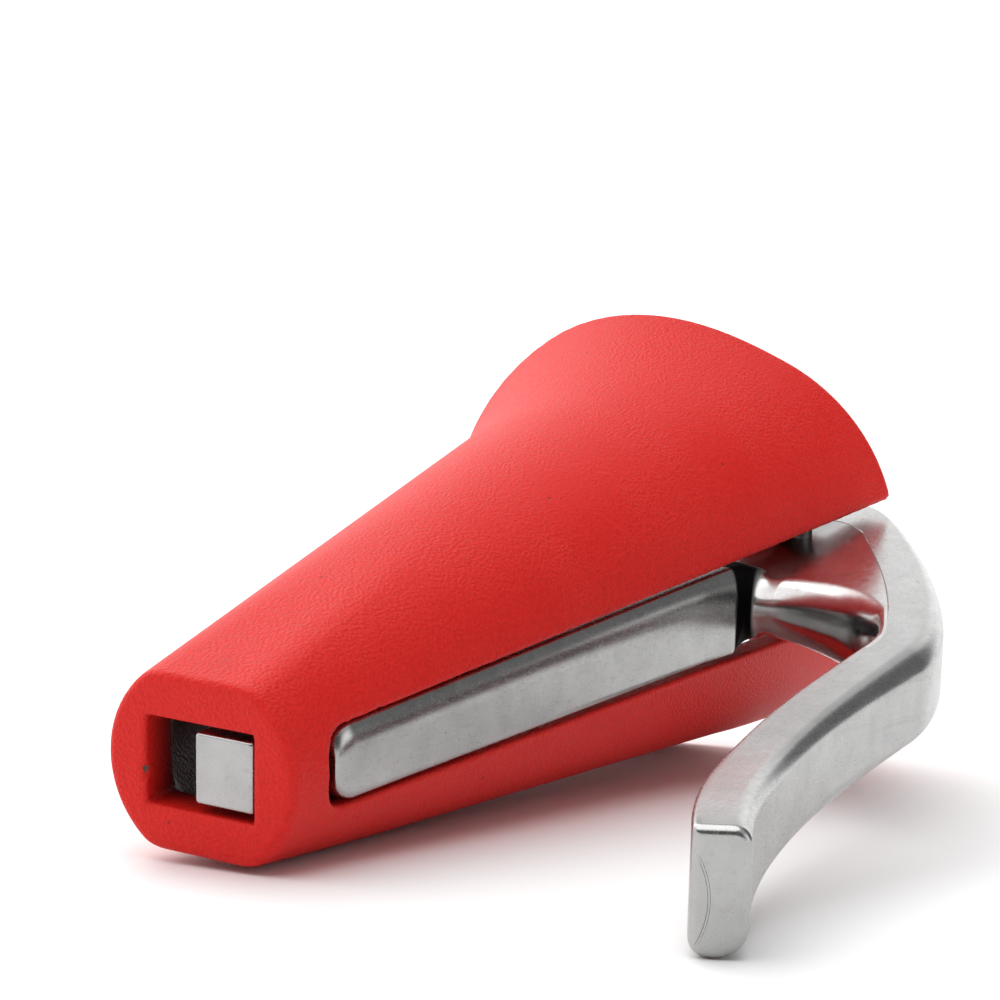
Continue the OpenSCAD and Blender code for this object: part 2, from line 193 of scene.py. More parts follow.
def skin(name, rings, finish=None):
    """Joins closed rings of the same number of points, and closes both ends.
    finish(row, point) gives the material slot of each face."""
    bm = bmesh.new()
    rows = [[bm.verts.new(p) for p in ring] for ring in rings]
    count = len(rows[0])
    for j in range(len(rows) - 1):
        for i in range(count):
            k = (i + 1) % count
            face = bm.faces.new((rows[j][i], rows[j + 1][i], rows[j + 1][k], rows[j][k]))
            face.material_index = finish(j, i) if finish else 0
    bm.faces.new(rows[0])
    bm.faces.new(rows[-1][::-1])
    return mesh_of(name, bm)


def rod(name, rows):
    """A turned rod along the pin's axis, from (height, radius) pairs."""
    steps = [2 * math.pi * i / ROUND for i in range(ROUND)]
    return skin(name, [[Vector((PIN_A + r * math.cos(s), -PIN_U + r * math.sin(s), h)) for s in steps]
                       for h, r in rows])


def thread(name, path, radius, up):
    """A thin round thread along a path that lies across the direction up."""
    rings = []
    for k, p in enumerate(path):
        ahead = (path[min(k + 1, len(path) - 1)] - path[max(k - 1, 0)]).normalized()
        side = ahead.cross(up).normalized()
        rings.append([p + radius * (cosd(s) * up + sind(s) * side) for s in range(0, 360, 30)])
    return skin(name, rings)


def cut(name, mesh, steps):
    """A mesh after boolean steps, each ("DIFFERENCE", "UNION" or "INTERSECT", other mesh)."""
    work = shown(name, mesh)
    others = []
    for kind, other in steps:
        others.append(shown(name + "_cutter", other))
        change = work.modifiers.new("cut", "BOOLEAN")
        change.operation, change.solver, change.object = kind, "EXACT", others[-1]
    result = applied(work)
    for o in others:
        bpy.data.objects.remove(o)
    drop_idle_points(result)
    return result


def drop_idle_points(mesh):
    """Takes out the points that only two edges meet at, which cutting leaves along its borders."""
    bm = bmesh.new()
    bm.from_mesh(mesh)
    bmesh.ops.dissolve_verts(bm, verts=[v for v in bm.verts if len(v.link_edges) == 2])
    bm.to_mesh(mesh)
    bm.free()


def applied(work):
    """The mesh of a working object with its modifiers, and the object taken away again."""
    bpy.context.view_layer.update()
    graph = bpy.context.evaluated_depsgraph_get()
    mesh = bpy.data.meshes.new_from_object(work.evaluated_get(graph))
    mesh.name = work.name
    bpy.data.objects.remove(work)
    return mesh


# the funnel

SLOPE = tand(CONE_ANGLE)
SLOT_LEN = RIM_LEN + RIM_SLANT
SHOULDER = SLOT_START + SHOULDER_GAP
NOSE_A = RIM_LEN - NOSE_BACK


def cone_r(a):
    return END_R + SLOPE * a


PIN_A = RIM_LEN - PIN_BACK
PIN_U = cone_r(PIN_A) - PIN_DEEP
PIN_R = PIN_D / 2
PIN_TOP = math.sqrt(cone_r(PIN_A) ** 2 - (PIN_U + PIN_R) ** 2) - PIN_COVER


def taper(a):
    return (a - SHOULDER) / (NOSE_A - SHOULDER)


def slot_half(a):
    return mix(BAR_W / 2 + BAR_GAP, LEVER_W / 2 + BEND_GAP, taper(a))


# The casting is a field of distances, below nought inside the metal. Each cut rounds the edge it leaves,
# as the coat does.

def soft_cut(body, side, r):
    """The part of body that is also inside side, with the edge between them rounded."""
    return np.minimum(-r, np.maximum(body, side)) + np.hypot(np.maximum(r + body, 0), np.maximum(r + side, 0))


def soft_join(body, other, r):
    """body and other together, with a fillet between them."""
    return np.maximum(r, np.minimum(body, other)) - np.hypot(np.maximum(r - body, 0), np.maximum(r - other, 0))


def lip_radius(a, share, rim):
    lip = np.maximum(0, (a - rim + LIP_LEN) / LIP_LEN)
    return END_R + SLOPE * a + LIP_OUT * share * lip ** 2, SLOPE + LIP_OUT * share * 2 * lip / LIP_LEN


def casting(x, y, z):
    """Distance to the casting's skin at points on the tool's axes."""
    r = np.hypot(y, z) + 1e-9
    turned = np.degrees(np.arccos(np.clip(-y / r, -1, 1)))
    t = np.clip((turned - LIP_FROM) / (LIP_TO - LIP_FROM), 0, 1)
    share = t * t * (3 - 2 * t)
    rim = RIM_LEN - RIM_SLANT * y / r
    side_r, slope = lip_radius(np.minimum(x, rim - WALL / 2), share, rim)
    lean = 1 / np.sqrt(1 + slope ** 2)
    outside = (r - side_r) * lean
    past_rim = np.maximum(0, x - rim + WALL / 2)
    shell = (np.hypot(r - side_r + WALL / 2, past_rim) - WALL / 2) * lean
    # the narrow end's wall, filleted to the side inside
    hollow = soft_cut(outside + WALL * lean, END_WALL - x, END_FILLET)
    body = np.minimum(shell, np.maximum(np.maximum(outside, -hollow), x - 2 * PAST))
    # bosses that carry the pin, on the slot's side only
    barrel = np.hypot(x - PIN_A, y + PIN_U)
    boss = np.maximum(np.maximum(barrel - BOSS_R, r - (END_R + SLOPE * x - BOSS_SKIN)), y)
    body = soft_join(body, boss, BOSS_FILLET)
    body = soft_cut(body, -x, END_EDGE)
    for up in (1, -1):
        body = soft_cut(body, up * z * cosd(FLAT_ANGLE) - x * sind(FLAT_ANGLE) - FLAT_HALF * cosd(FLAT_ANGLE),
                        FLAT_SOFT)
    window = np.maximum(np.maximum(np.abs(y) - WINDOW_W / 2, np.abs(z) - WINDOW_H / 2), x - PAST)
    body = soft_cut(body, -window, WINDOW_SOFT)
    cheek = soft_cut(slot_half(x) - np.abs(z), x - SLOT_LEN, SLOT_MOUTH)
    slot = soft_cut(-cheek, SLOT_START - x, SLOT_END)
    body = soft_cut(body, -np.maximum(slot, y), SLOT_SOFT)
    way_in = np.maximum(np.abs(x - PIN_A) - (PIN_D - PIN_SNAP) / 2, np.maximum(-y - PIN_U, y + PIN_U - 2 * BOSS_R))
    seat = np.maximum(np.minimum(barrel - PIN_R - PIN_CLEAR, way_in), np.abs(z) - PIN_TOP - PIN_END_GAP)
    body = soft_cut(body, -seat, SEAT_SOFT)
    chip = np.sqrt((x - CHIP[0]) ** 2 + (y - CHIP[1]) ** 2 + ((z - CHIP[2]) / CHIP_LONG) ** 2) - CHIP_R
    nick = np.sqrt(((x - NICK[0]) / NICK_LONG) ** 2 + (y - NICK[1]) ** 2 + (z - NICK[2]) ** 2) - NICK_R
    return np.maximum(np.maximum(body, -chip), -nick) + CAST_TRIM


def onto_skin(points):
    """Moves points straight onto the casting's skin."""
    step = SKIN_STEP
    for _ in range(SKIN_PASSES):
        x, y, z = points.T
        here = casting(x, y, z)
        slope = np.stack([casting(x + step, y, z) - casting(x - step, y, z),
                          casting(x, y + step, z) - casting(x, y - step, z),
                          casting(x, y, z + step) - casting(x, y, z - step)], 1) / (2 * step)
        size = np.maximum((slope ** 2).sum(1), LEAST_SLOPE)
        points = points - np.clip(here / size, -CAST_CELL, CAST_CELL)[:, None] * slope
    return points


def funnel_mesh(coat):
    """Skins the casting: one point in each cell of a grid that the skin passes through."""
    reach = cone_r(RIM_LEN) + LIP_OUT + CAST_MARGIN
    low = np.array([-CAST_MARGIN, -reach, -reach])
    counts = (np.array([SLOT_LEN + 2 * CAST_MARGIN, 2 * reach, 2 * reach]) / CAST_CELL).astype(int) + 2
    axes = [low[i] + CAST_CELL * np.arange(counts[i]) for i in range(3)]
    field = casting(*np.meshgrid(*axes, indexing="ij"))
    inside = field < 0
    cells = counts - 1

    def corner(values, dx, dy, dz):
        return values[dx:dx + cells[0], dy:dy + cells[1], dz:dz + cells[2]]

    corners = [(dx, dy, dz) for dx in (0, 1) for dy in (0, 1) for dz in (0, 1)]
    full = sum(corner(inside, *c).astype(np.int8) for c in corners)
    skin_cells = np.argwhere((full > 0) & (full < 8))
    number = np.full(cells, -1, np.int64)
    number[tuple(skin_cells.T)] = np.arange(len(skin_cells))
    # each point starts at the mean of the places where the skin crosses its cell's edges
    total, hits = np.zeros((len(skin_cells), 3)), np.zeros(len(skin_cells))
    for c in corners:
        for axis in range(3):
            if c[axis]:
                continue
            far = list(c)
            far[axis] = 1
            f0 = field[tuple((skin_cells + c).T)]
            f1 = field[tuple((skin_cells + far).T)]
            crossed = (f0 < 0) != (f1 < 0)
            t = np.where(crossed, f0 / np.where(crossed, f0 - f1, 1), 0)
            place = np.tile(np.array(c, float), (len(skin_cells), 1))
            place[:, axis] = t
            total += place * crossed[:, None]
            hits += crossed
    points = onto_skin(low + CAST_CELL * (skin_cells + total / hits[:, None]))
    quads = []
    for axis in range(3):
        b, c = (axis + 1) % 3, (axis + 2) % 3
        ahead = np.moveaxis(inside, axis, 0)
        cross = np.moveaxis(ahead[:-1] != ahead[1:], 0, axis)
        places = np.argwhere(cross)
        places = places[(places[:, b] > 0) & (places[:, c] > 0)
                        & (places[:, b] < cells[b]) & (places[:, c] < cells[c])]
        ring = []
        for db, dc in ((1, 1), (0, 1), (0, 0), (1, 0)):
            at = places.copy()
            at[:, b] -= db
            at[:, c] -= dc
            ring.append(number[tuple(at.T)])
        ring = np.stack(ring, 1)
        outwards = inside[tuple(places.T)]
        quads.append(np.where(outwards[:, None], ring, ring[:, ::-1]))
    quads = np.concatenate(quads)
    # evens out the points along the skin
    ends = np.concatenate([quads[:, [k, (k + 1) % 4]] for k in range(4)])
    for _ in range(CAST_EVENING):
        mean, count = np.zeros_like(points), np.zeros(len(points))
        np.add.at(mean, ends[:, 0], points[ends[:, 1]])
        np.add.at(count, ends[:, 0], 1)
        points = onto_skin(points + CAST_PULL * (mean / count[:, None] - points))
    mesh = bpy.data.meshes.new("funnel_coat")
    mesh.from_pydata(points.tolist(), [], quads.tolist())
    mesh.materials.append(coat)
    return mesh


# the lever

HALF_W = LEVER_W / 2
TIP_TOP = WINDOW_W / 2 - TIP_GAP
TIP_HALF = WINDOW_H / 2 - TIP_SIDE
BEND_A = SLOT_LEN + BEND_OVER - BEND_TRIM
SATIN, POLISHED = 0, 1


def bar_face(a):
    return cone_r(a) - BAR_SUNK


def jaw(a):
    return mix(TIP_TOP - TIP_T, bar_face(PIN_A) - BAR_T, a / PIN_A)


def bar_half(a):
    return mix(BAR_FULL, BAR_END_FULL, min(1, taper(a))) / 2


# one side of a section: its height, depth of the drafted inner part, half of the inner flat, inner rounding
# and outer rounding
Flank = namedtuple("Flank", "half depth flat bull edge")


def flank_line(span, side, burr):
    """A flank from the inner point to the outer point, as pairs of depth and height, with the groove where
    the drafted part ends."""
    half, depth, flat, bull, edge = side
    r = min(bull, depth - LEAST)
    draft = tand(WEB_DRAFT)
    line = []
    for k in range(INNER_STEPS + 1):
        s = (90 - WEB_DRAFT) * k / INNER_STEPS
        line.append((r * (1 - cosd(s)), mix(flat, half - (depth - r) * draft, sind(s))))
    line += [(depth - BURR_WIDE, half - BURR_WIDE * draft), (depth, half - burr), (depth + BURR_WIDE, half)]
    for k in range(OUTER_STEPS + 1):
        s = 90 * k / OUTER_STEPS
        line.append((span - edge + edge * sind(s), half - edge + edge * cosd(s)))
    return line


def rib(start, stop, upper, lower, burr=0.0):
    """A closed section from its inner point to its outer point, with its two flanks."""
    way, span = (stop - start).normalized(), (stop - start).length
    low = [tool(start + way * d, -w) for d, w in flank_line(span, lower, burr)]
    return low + [tool(start + way * d, w) for d, w in flank_line(span, upper, burr)[::-1]]


def face_flats(half):
    """Half of the bar's flat above and below its middle."""
    return max(LEAST, half * (1 - CROWN_SHARE)), max(LEAST, half - FOOT_RUN)


def bar_rib(a, inset):
    half = bar_half(a) - inset
    flanks = [Flank(half, deep + LEAST, flat, deep, BAR_EDGE)
              for deep, flat in zip((CROWN_DEEP, FOOT_DEEP), face_flats(half))]
    drop = inset * FACE_DROP
    return rib(plane(a, bar_face(a) - drop), plane(a, jaw(a) + drop), *flanks)


CORNER = plane(NOSE_A - NOSE_FILLET, bar_face(NOSE_A) + NOSE_FILLET)
TURN_FROM = plane(BEND_A - TURN_IN, jaw(BEND_A - TURN_IN))
TURN_TO = plane(BEND_A - TURN_OUT, bar_face(BEND_A) + TURN_RISE)
LEAVE = plane(-LEAVE_RUN, 1).normalized()
GRIP_FROM = plane(HANDLE_FROM, HANDLE_OUT)
TURN = [TURN_FROM, TURN_FROM + TURN_IN * plane(1, jaw(1) - jaw(0)).normalized(),
        TURN_TO - TURN_PULL * LEAVE, TURN_TO]
BACK = [TURN_TO, TURN_TO + BACK_PULL * LEAVE,
        GRIP_FROM + GRIP_PULL * plane(GRIP_RUN, GRIP_DIP).normalized(), GRIP_FROM]
NOSE_TOP = CORNER + plane(NOSE_FILLET, NOSE_RISE)
INNER_U = HANDLE_OUT - HANDLE_T
NOSE = [NOSE_TOP, NOSE_TOP + plane(0, NOSE_PULL),
        plane(HANDLE_FROM + WEB_PULL, INNER_U), plane(HANDLE_FROM, INNER_U)]
GRIP = [GRIP_FROM, GRIP_FROM - plane(GRIP_RUN, GRIP_DIP),
        plane(HANDLE_PAST + END_RUN, HANDLE_OUT - END_DIP), plane(-HANDLE_PAST, HANDLE_OUT + HANDLE_TURN)]


def along(curve, t):
    return (bezier(curve, min(t + CURVE_STEP, 1)) - bezier(curve, max(t - CURVE_STEP, 0))).normalized()


def grow(t):
    return smooth(t / GROW_SHARE)


def fade(t):
    return smooth((t - FADE_SHARE) / (1 - FADE_SHARE))


def outer_edge(t, side):
    if t < FADE_SHARE:
        return mix(BAR_EDGE, BACK_EDGE[side], smooth((t - CORNER_SHARE) / (FADE_SHARE - CORNER_SHARE)))
    return mix(BACK_EDGE[side], GRIP_EDGE[side], smooth((t - FADE_SHARE) / EDGE_RUN))


def nose_rib(start, stop, depths, t):
    """A section of the bend: the bar's rounding grows to the bull nose and fades to the handle's edges."""
    half = mix(BAR_END_FULL / 2, HALF_W, smooth(t / CORNER_SHARE))
    flanks = []
    for side, (deep, face_flat) in enumerate(zip((CROWN_DEEP, FOOT_DEEP), face_flats(half))):
        if t < FADE_SHARE:
            flat, bull = mix(face_flat, LEAST, grow(t)), mix(deep, NOSE_ROUND, grow(t))
        else:
            flat, bull = mix(LEAST, half - INNER_EDGE, fade(t)), mix(NOSE_ROUND, INNER_EDGE, fade(t))
        flanks.append(Flank(half, depths[side], flat, bull, outer_edge(t, side)))
    return rib(start, stop, *flanks, BURR_DEEP * grow(t) * (1 - fade(t)))


def web_depth(s):
    """How far the nose's sides reach back before the bend's own thickness begins."""
    way, back = bezier(BACK, s) - bezier(NOSE, s), along(BACK, s)
    least = INNER_EDGE + LEAST
    bare = way.length - HANDLE_T / way.normalized().dot(plane(back[1], -back[0])) - least
    return least + (bare + math.sqrt(bare * bare + 4 * WEB_EASE ** 2)) / 2


WEB_SHARE = web_depth(0) / (BACK[0] - NOSE[0]).length


def corner_rib(start, stop, t):
    web = WEB_SHARE * (stop - start).length
    return nose_rib(start, stop, [mix(deep + LEAST, web, grow(t)) for deep in (CROWN_DEEP, FOOT_DEEP)], t)


def corner_point(angle):
    return CORNER + NOSE_FILLET * plane(cosd(angle), sind(angle))


def grip_rib(t, shift, inset):
    way = along(GRIP, t)
    out = bezier(GRIP, t) + way * shift
    inwards = plane(-way[1], way[0])
    near_end = smooth((t - END_FROM) / (1 - END_FROM))
    flanks = []
    for side, flare in enumerate((END_FLARE * near_end, 0)):
        half = HALF_W + flare - inset
        inner = max(LEAST, mix(INNER_EDGE, END_EDGE_IN[side], near_end) - inset)
        edge = max(LEAST, outer_edge(1 + t, side) - inset)
        flanks.append(Flank(half, inner + LEAST, half - inner, inner, edge))
    return rib(out + inwards * (mix(HANDLE_T, HANDLE_END_T, t) - inset), out + inwards * inset, *flanks)


def tip_ring(a, inset):
    """A section of the tip, with small round corners."""
    low, high, wide, edge = jaw(a) + inset, TIP_TOP - inset, TIP_HALF - inset, TIP_EDGE
    ring = []
    for su, sw, start in ((1, 1, 0), (-1, 1, 90), (-1, -1, 180), (1, -1, 270)):
        u = high - edge if su > 0 else low + edge
        w = sw * (wide - edge)
        ring += [tool((a, u + edge * cosd(start + s)), w + edge * sind(start + s)) for s in range(0, 91, 18)]
    return ring


def end_mark():
    """The crescent that grinding left on the handle's end face."""
    way = along(GRIP, 1)
    inner = bezier(GRIP, 1) + plane(-way[1], way[0]) * HANDLE_END_T
    sunk = way * (HANDLE_TRIM - MARK_SUNK)
    path = []
    for s in range(-MARK_TURN, MARK_TURN + 1, 4):
        deep = MARK_BULGE - MARK_BOW * (1 - cosd(s))
        path.append(tool(inner + plane(way[1], -way[0]) * deep - sunk, MARK_BOW * sind(s)))
    return thread("end_mark", path, MARK_R, tool(way, 0))


def top_scratch():
    """A scratch across the bend's upper side."""
    path = [tool(p, HALF_W + SCRATCH_LIFT) for p in SCRATCH]
    return thread("top_scratch", path, SCRATCH_R, Vector((0, 0, 1)))


def lever_mesh(finishes):
    ribs = [bar_rib(SHOULDER + BAR_TIP_ROUND * (1 - cosd(s)), BAR_TIP_ROUND * (1 - sind(s)) * SHOULDER_SHARE)
            for s in range(0, 91, 10)]
    ribs += [bar_rib(mix(SHOULDER, NOSE_A, t / 10), 0) for t in range(1, 10)]
    first_nose = len(ribs)
    for k in range(CORNER_RIBS + 1):
        s = k / CORNER_RIBS
        a = mix(NOSE_A - CORNER_LEAD, TURN_FROM[0], s)
        start = corner_point(mix(-90, CORNER_STOP, s ** CORNER_HURRY))
        ribs.append(corner_rib(start, plane(a, jaw(a)), CORNER_SHARE * s))
    for k in range(1, TURN_RIBS + 1):
        s = k / TURN_RIBS
        start = corner_point(mix(CORNER_STOP, 0, min(1, 2 * s)))
        ribs.append(corner_rib(mix(start, NOSE_TOP, s * s), bezier(TURN, s), mix(CORNER_SHARE, TURN_SHARE, s)))
    for k in range(1, BACK_RIBS + 1):
        s = k / BACK_RIBS
        ribs.append(nose_rib(bezier(NOSE, s), bezier(BACK, s), [web_depth(s)] * 2, mix(TURN_SHARE, 1, s)))
    last_nose = len(ribs)
    ribs += [grip_rib(k / GRIP_RIBS, 0, 0) for k in range(1, GRIP_RIBS - 1)]
    for s in range(0, 91, 15):
        ribs.append(grip_rib(1, -HANDLE_TRIM - HANDLE_BEVEL * (1 - sind(s)), HANDLE_BEVEL * (1 - cosd(s))))
    count = len(ribs[0])

    def finish(row, point):
        side = min(point, count - 2 - point)
        return POLISHED if first_nose <= row < last_nose and side <= INNER_STEPS + 1 else SATIN

    tip = skin("tip", [tip_ring(TIP_SUNK + TIP_BEVEL * (1 - sind(s)), TIP_BEVEL * (1 - cosd(s)))
                       for s in range(90, -1, -15)] + [tip_ring(SHOULDER + TIP_T, 0)])
    bore = rod("bore", [(-LEVER_W, PIN_R), (LEVER_W, PIN_R)])
    blank = skin("lever_steel", ribs, finish)
    for f in finishes:
        blank.materials.append(f)
    return cut("lever_steel", blank, [
        ("UNION", tip), ("DIFFERENCE", bore), ("DIFFERENCE", end_mark()), ("DIFFERENCE", top_scratch())])


def pin_mesh(finish):
    bevel = PIN_D / 12
    end = [(PIN_TOP - bevel * (1 - sind(s)), PIN_R - bevel * (1 - cosd(s))) for s in range(0, 91, 15)]
    pin = rod("pivot_pin_steel", [(-h, r) for h, r in end[::-1]] + end)
    pin.materials.append(finish)
    return pin


def place(name, mesh, body, node, slot, sharp):
    """Lays a mesh down and makes it stand for its CAD node."""
    mesh.transform(lay_down())
    piece = shown(name, mesh)
    mesh.shade_smooth()
    if sharp:
        mesh.set_sharp_from_angle(angle=math.radians(sharp))
        even = piece.modifiers.new("even_shading", "WEIGHTED_NORMAL")
        even.keep_sharp = True
    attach(piece, body)
    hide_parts(node)
    return piece


# finishes

def node_group(name, inputs, outputs):
    group = bpy.data.node_groups.new(name, "ShaderNodeTree")
    for label, kind, value in inputs:
        socket = group.interface.new_socket(label, in_out="INPUT", socket_type=kind)
        if value is not None:
            socket.default_value = value
    for label, kind in outputs:
        group.interface.new_socket(label, in_out="OUTPUT", socket_type=kind)
    return group, group.nodes.new("NodeGroupInput"), group.nodes.new("NodeGroupOutput")


class Sheet:
    """Short hand for laying out nodes in a tree."""

    def __init__(self, tree):
        self.tree = tree

    def add(self, kind, links=None, **settings):
        node = self.tree.nodes.new(kind)
        for key, value in settings.items():
            setattr(node, key, value)
        for socket, value in (links or {}).items():
            self.put(node.inputs[socket], value)
        return node

    def put(self, socket, value):
        if isinstance(value, bpy.types.NodeSocket):
            self.tree.links.new(value, socket)
        else:
            socket.default_value = value

    def math(self, operation, a, b=0.0, clamp=False):
        return self.add("ShaderNodeMath", {0: a, 1: b}, operation=operation, use_clamp=clamp).outputs[0]

    def vector(self, operation, a, b=None):
        node = self.add("ShaderNodeVectorMath", {0: a}, operation=operation)
        if b is not None:
            self.put(node.inputs[1], b)
        return node

    def spread(self, value, low, high, to_low=0.0, to_high=1.0):
        node = self.add("ShaderNodeMapRange", {"Value": value, "From Min": low, "From Max": high,
                                               "To Min": to_low, "To Max": to_high})
        return node.outputs[0]

    def noise(self, vector, scale, detail=2.0, rough=0.5):
        node = self.add("ShaderNodeTexNoise", {"Vector": vector, "Scale": scale, "Detail": detail,
                                               "Roughness": rough})
        return node.outputs["Fac"]

    def blend(self, share, a, b):
        node = self.add("ShaderNodeMix", data_type="RGBA")
        self.put(node.inputs[0], share)
        self.put(node.inputs[6], a)
        self.put(node.inputs[7], b)
        return node.outputs[2]


def grain_group():
    """Fine grain, round pebbles, slow blotches and rare specks: the coat, and the ground steel."""
    group, start, end = node_group("surface_grain", [
        ("Vector", "NodeSocketVector", None), ("Grain Scale", "NodeSocketFloat", 2600.0),
        ("Blotch Scale", "NodeSocketFloat", 90.0), ("Speck Scale", "NodeSocketFloat", 420.0)],
        [("Grain", "NodeSocketFloat"), ("Pebble", "NodeSocketFloat"), ("Blotch", "NodeSocketFloat"),
         ("Speck", "NodeSocketFloat")])
    n = Sheet(group)
    grain = n.noise(start.outputs["Vector"], start.outputs["Grain Scale"], 3.0, 0.6)
    blotch = n.noise(start.outputs["Vector"], start.outputs["Blotch Scale"], 2.0, 0.5)
    cell = n.add("ShaderNodeTexVoronoi", {"Vector": start.outputs["Vector"],
                                          "Scale": start.outputs["Speck Scale"]}, feature="F1")
    chance = n.add("ShaderNodeSeparateColor", {"Color": cell.outputs["Color"]})
    near = n.spread(cell.outputs["Distance"], SPECK_FULL, SPECK_END, 1.0, 0.0)
    rare = n.math("GREATER_THAN", chance.outputs[0], SPECK_RARE)
    pebble = n.add("ShaderNodeTexVoronoi", {"Vector": start.outputs["Vector"], "Smoothness": 0.6,
                                            "Scale": start.outputs["Grain Scale"]}, feature="SMOOTH_F1")
    n.put(end.inputs["Grain"], grain)
    n.put(end.inputs["Pebble"], n.spread(pebble.outputs["Distance"], 0.0, 0.7, 1.0, 0.0))
    n.put(end.inputs["Blotch"], blotch)
    n.put(end.inputs["Speck"], n.math("MULTIPLY", near, rare))
    return group


def scratch_group():
    """Fine scratches that run mostly one way."""
    group, start, end = node_group("fine_scratches", [
        ("Vector", "NodeSocketVector", None), ("Along", "NodeSocketFloat", 60.0),
        ("Across", "NodeSocketFloat", 5200.0)], [("Lines", "NodeSocketFloat"), ("Marks", "NodeSocketFloat")])
    n = Sheet(group)
    squeeze = n.add("ShaderNodeCombineXYZ", {0: start.outputs["Along"], 1: start.outputs["Across"],
                                             2: start.outputs["Across"]})
    drawn = n.vector("MULTIPLY", start.outputs["Vector"], squeeze.outputs[0]).outputs[0]
    lines = n.noise(drawn, 1.0, 2.0, 0.6)
    marks = n.noise(drawn, 0.22, 1.0, 0.4)
    n.put(end.inputs["Lines"], lines)
    n.put(end.inputs["Marks"], n.spread(marks, 0.66, 0.74))
    return group


GRAIN = grain_group()
SCRATCHES = scratch_group()


def finish_of(name):
    material = bpy.data.materials.new(name)
    material.use_nodes = True
    tree = material.node_tree
    tree.nodes.clear()
    n = Sheet(tree)
    shader = n.add("ShaderNodeBsdfPrincipled")
    n.add("ShaderNodeOutputMaterial", {"Surface": shader.outputs[0]})
    place_on = n.add("ShaderNodeTexCoord").outputs["Object"]
    return material, n, shader, place_on


def red_coat():
    """Powder coat: a fine pebbled skin with pits and bright grains, and a chip down to the metal."""
    material, n, shader, spot = finish_of("red_powder_coat")
    grain = n.add("ShaderNodeGroup", node_tree=GRAIN)
    for socket, value in (("Vector", spot), ("Grain Scale", 2600.0), ("Blotch Scale", 70.0),
                          ("Speck Scale", 520.0)):
        n.put(grain.inputs[socket], value)
    mottle = n.spread(grain.outputs["Grain"], *WIDE)
    slow = n.spread(grain.outputs["Blotch"], *NARROW)
    red = n.blend(mottle, COAT_DEEP, COAT_BRIGHT)
    red = n.blend(n.math("MULTIPLY", slow, 0.25), red, COAT_BLOTCH)
    red = n.blend(n.math("MULTIPLY", grain.outputs["Speck"], 0.7), red, COAT_SPECK)
    away = n.vector("DISTANCE", spot, tuple(lay_down() @ Vector(CHIP))).outputs["Value"]
    ragged = n.math("ADD", away, n.math("MULTIPLY", grain.outputs["Grain"], CHIP_RAGGED))
    chipped = n.spread(ragged, CHIP_FULL, CHIP_END, 1.0, 0.0)
    # painted shade: the deep part of the hollow behind the window is darkened
    red = n.blend(painted_hollow_shade(n, spot), red, COAT_HOLLOW_SHADE)
    n.put(shader.inputs["Base Color"], n.blend(chipped, red, BARE_METAL))
    n.put(shader.inputs["Roughness"], n.spread(grain.outputs["Grain"], *WIDE, 0.42, 0.58))
    shader.inputs["Specular IOR Level"].default_value = 0.2
    peel = n.math("ADD", grain.outputs["Pebble"], n.math("MULTIPLY", grain.outputs["Grain"], 0.7))
    patchy = n.math("MULTIPLY", peel, n.spread(grain.outputs["Blotch"], *NARROW, 0.25, 1.0))
    pits = n.math("SUBTRACT", patchy, n.math("MULTIPLY", grain.outputs["Speck"], 0.8))
    bump = n.add("ShaderNodeBump", {"Strength": 0.36, "Distance": 0.0004, "Height": pits})
    n.put(shader.inputs["Normal"], bump.outputs[0])
    return material


def on_table(way):
    """A direction on the tool's axes as a direction in the table's frame."""
    return tuple((lay_down().to_3x3() @ Vector(way)).normalized())


def painted_hollow_shade(n, spot):
    """A mask of the deep part of the hollow, where shade is painted dark."""
    ahead = on_table((1, 0, 0))
    out = n.vector("SUBTRACT", spot, tuple(lay_down() @ Vector((0, 0, 0)))).outputs[0]
    run = n.vector("DOT_PRODUCT", out, ahead).outputs["Value"]
    off = n.vector("LENGTH", n.vector("CROSS_PRODUCT", out, ahead).outputs[0]).outputs["Value"]
    narrow = n.math("SUBTRACT", off, n.math("MULTIPLY", run, SLOPE))
    inside = n.spread(narrow, (END_R - HOLLOW_SHADE_WALL * WALL) * MM, (END_R - HOLLOW_SHADE_WALL_END * WALL) * MM, 1.0, 0.0)
    deep = n.math("MULTIPLY", n.spread(run, HOLLOW_SHADE_START * MM, HOLLOW_SHADE_FULL * MM),
                  n.spread(run, HOLLOW_SHADE_HOLD * MM, HOLLOW_SHADE_END * MM, 1.0, 0.0))
    return n.math("MULTIPLY", inside, deep)


def painted_corner_shade(n, spot):
    """A mask of the corner between bar and nose, where shade is painted dark."""
    out = n.vector("SUBTRACT", spot, tuple(lay_down() @ tool(CORNER, 0))).outputs[0]
    into = n.vector("DOT_PRODUCT", out, on_table(tool((1, -1), 0))).outputs["Value"]
    beside = n.math("ABSOLUTE", n.vector("DOT_PRODUCT", out, on_table(tool((1, 1), 0))).outputs["Value"])
    slope = n.math("DIVIDE", beside, n.math("MAXIMUM", into, 0.1 * MM))
    near = n.math("MULTIPLY", n.spread(into, CORNER_FROM * MM, CORNER_FULL * MM),
                  n.spread(into, CORNER_REACH * MM, (CORNER_REACH + 1) * MM, 1.0, 0.0))
    return n.math("MULTIPLY", n.spread(slope, CORNER_DARK, CORNER_CLEAR, 1.0, 0.0), near)


